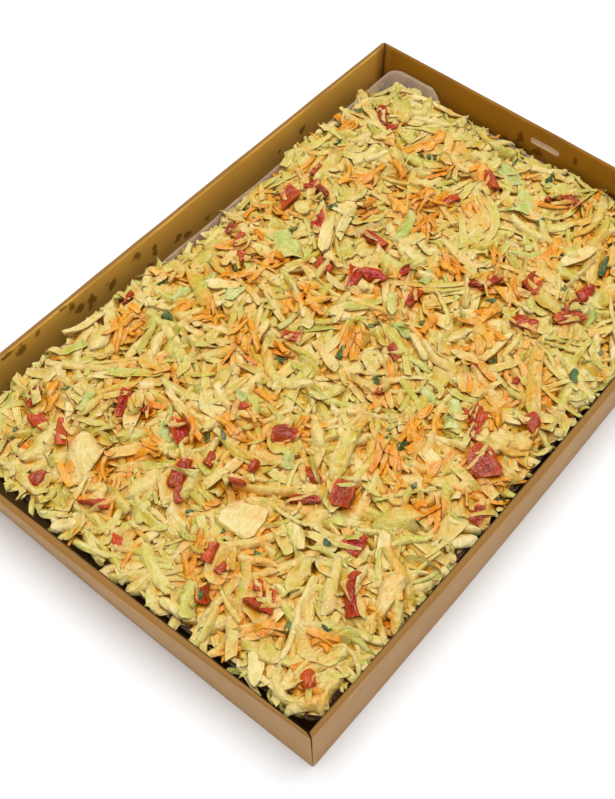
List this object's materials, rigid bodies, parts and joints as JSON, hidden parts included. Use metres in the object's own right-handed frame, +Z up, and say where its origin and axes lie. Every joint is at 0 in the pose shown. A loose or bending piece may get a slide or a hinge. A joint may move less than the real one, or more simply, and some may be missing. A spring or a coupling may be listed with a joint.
{
  "type": "coleslaw in a cardboard catering tray",
  "caption": "Open rectangular cardboard catering tray with rolled double walls and a slot in one short wall, holding a clear liner heaped with shredded coleslaw.",
  "frame": {"origin": "middle of the tray's underside, on the surface that it stands on", "axes": "+X along the tray's length towards the short wall with the slot, +Y across it, +Z up"},
  "size_m": [0.4609, 0.306, 0.048],
  "materials": {
    "cardboard": "matte unbleached brown board, darker and golden on its inner faces",
    "clear_plastic": "thin clear glossy sheet",
    "slaw": "shredded cabbage, carrot and red pepper, wet with a thin creamy dressing"
  },
  "bodies": {
    "root": {"cardboard_tray": "cardboard", "clear_liner": "clear_plastic", "slaw": "slaw"}
  },
  "joints": []
}
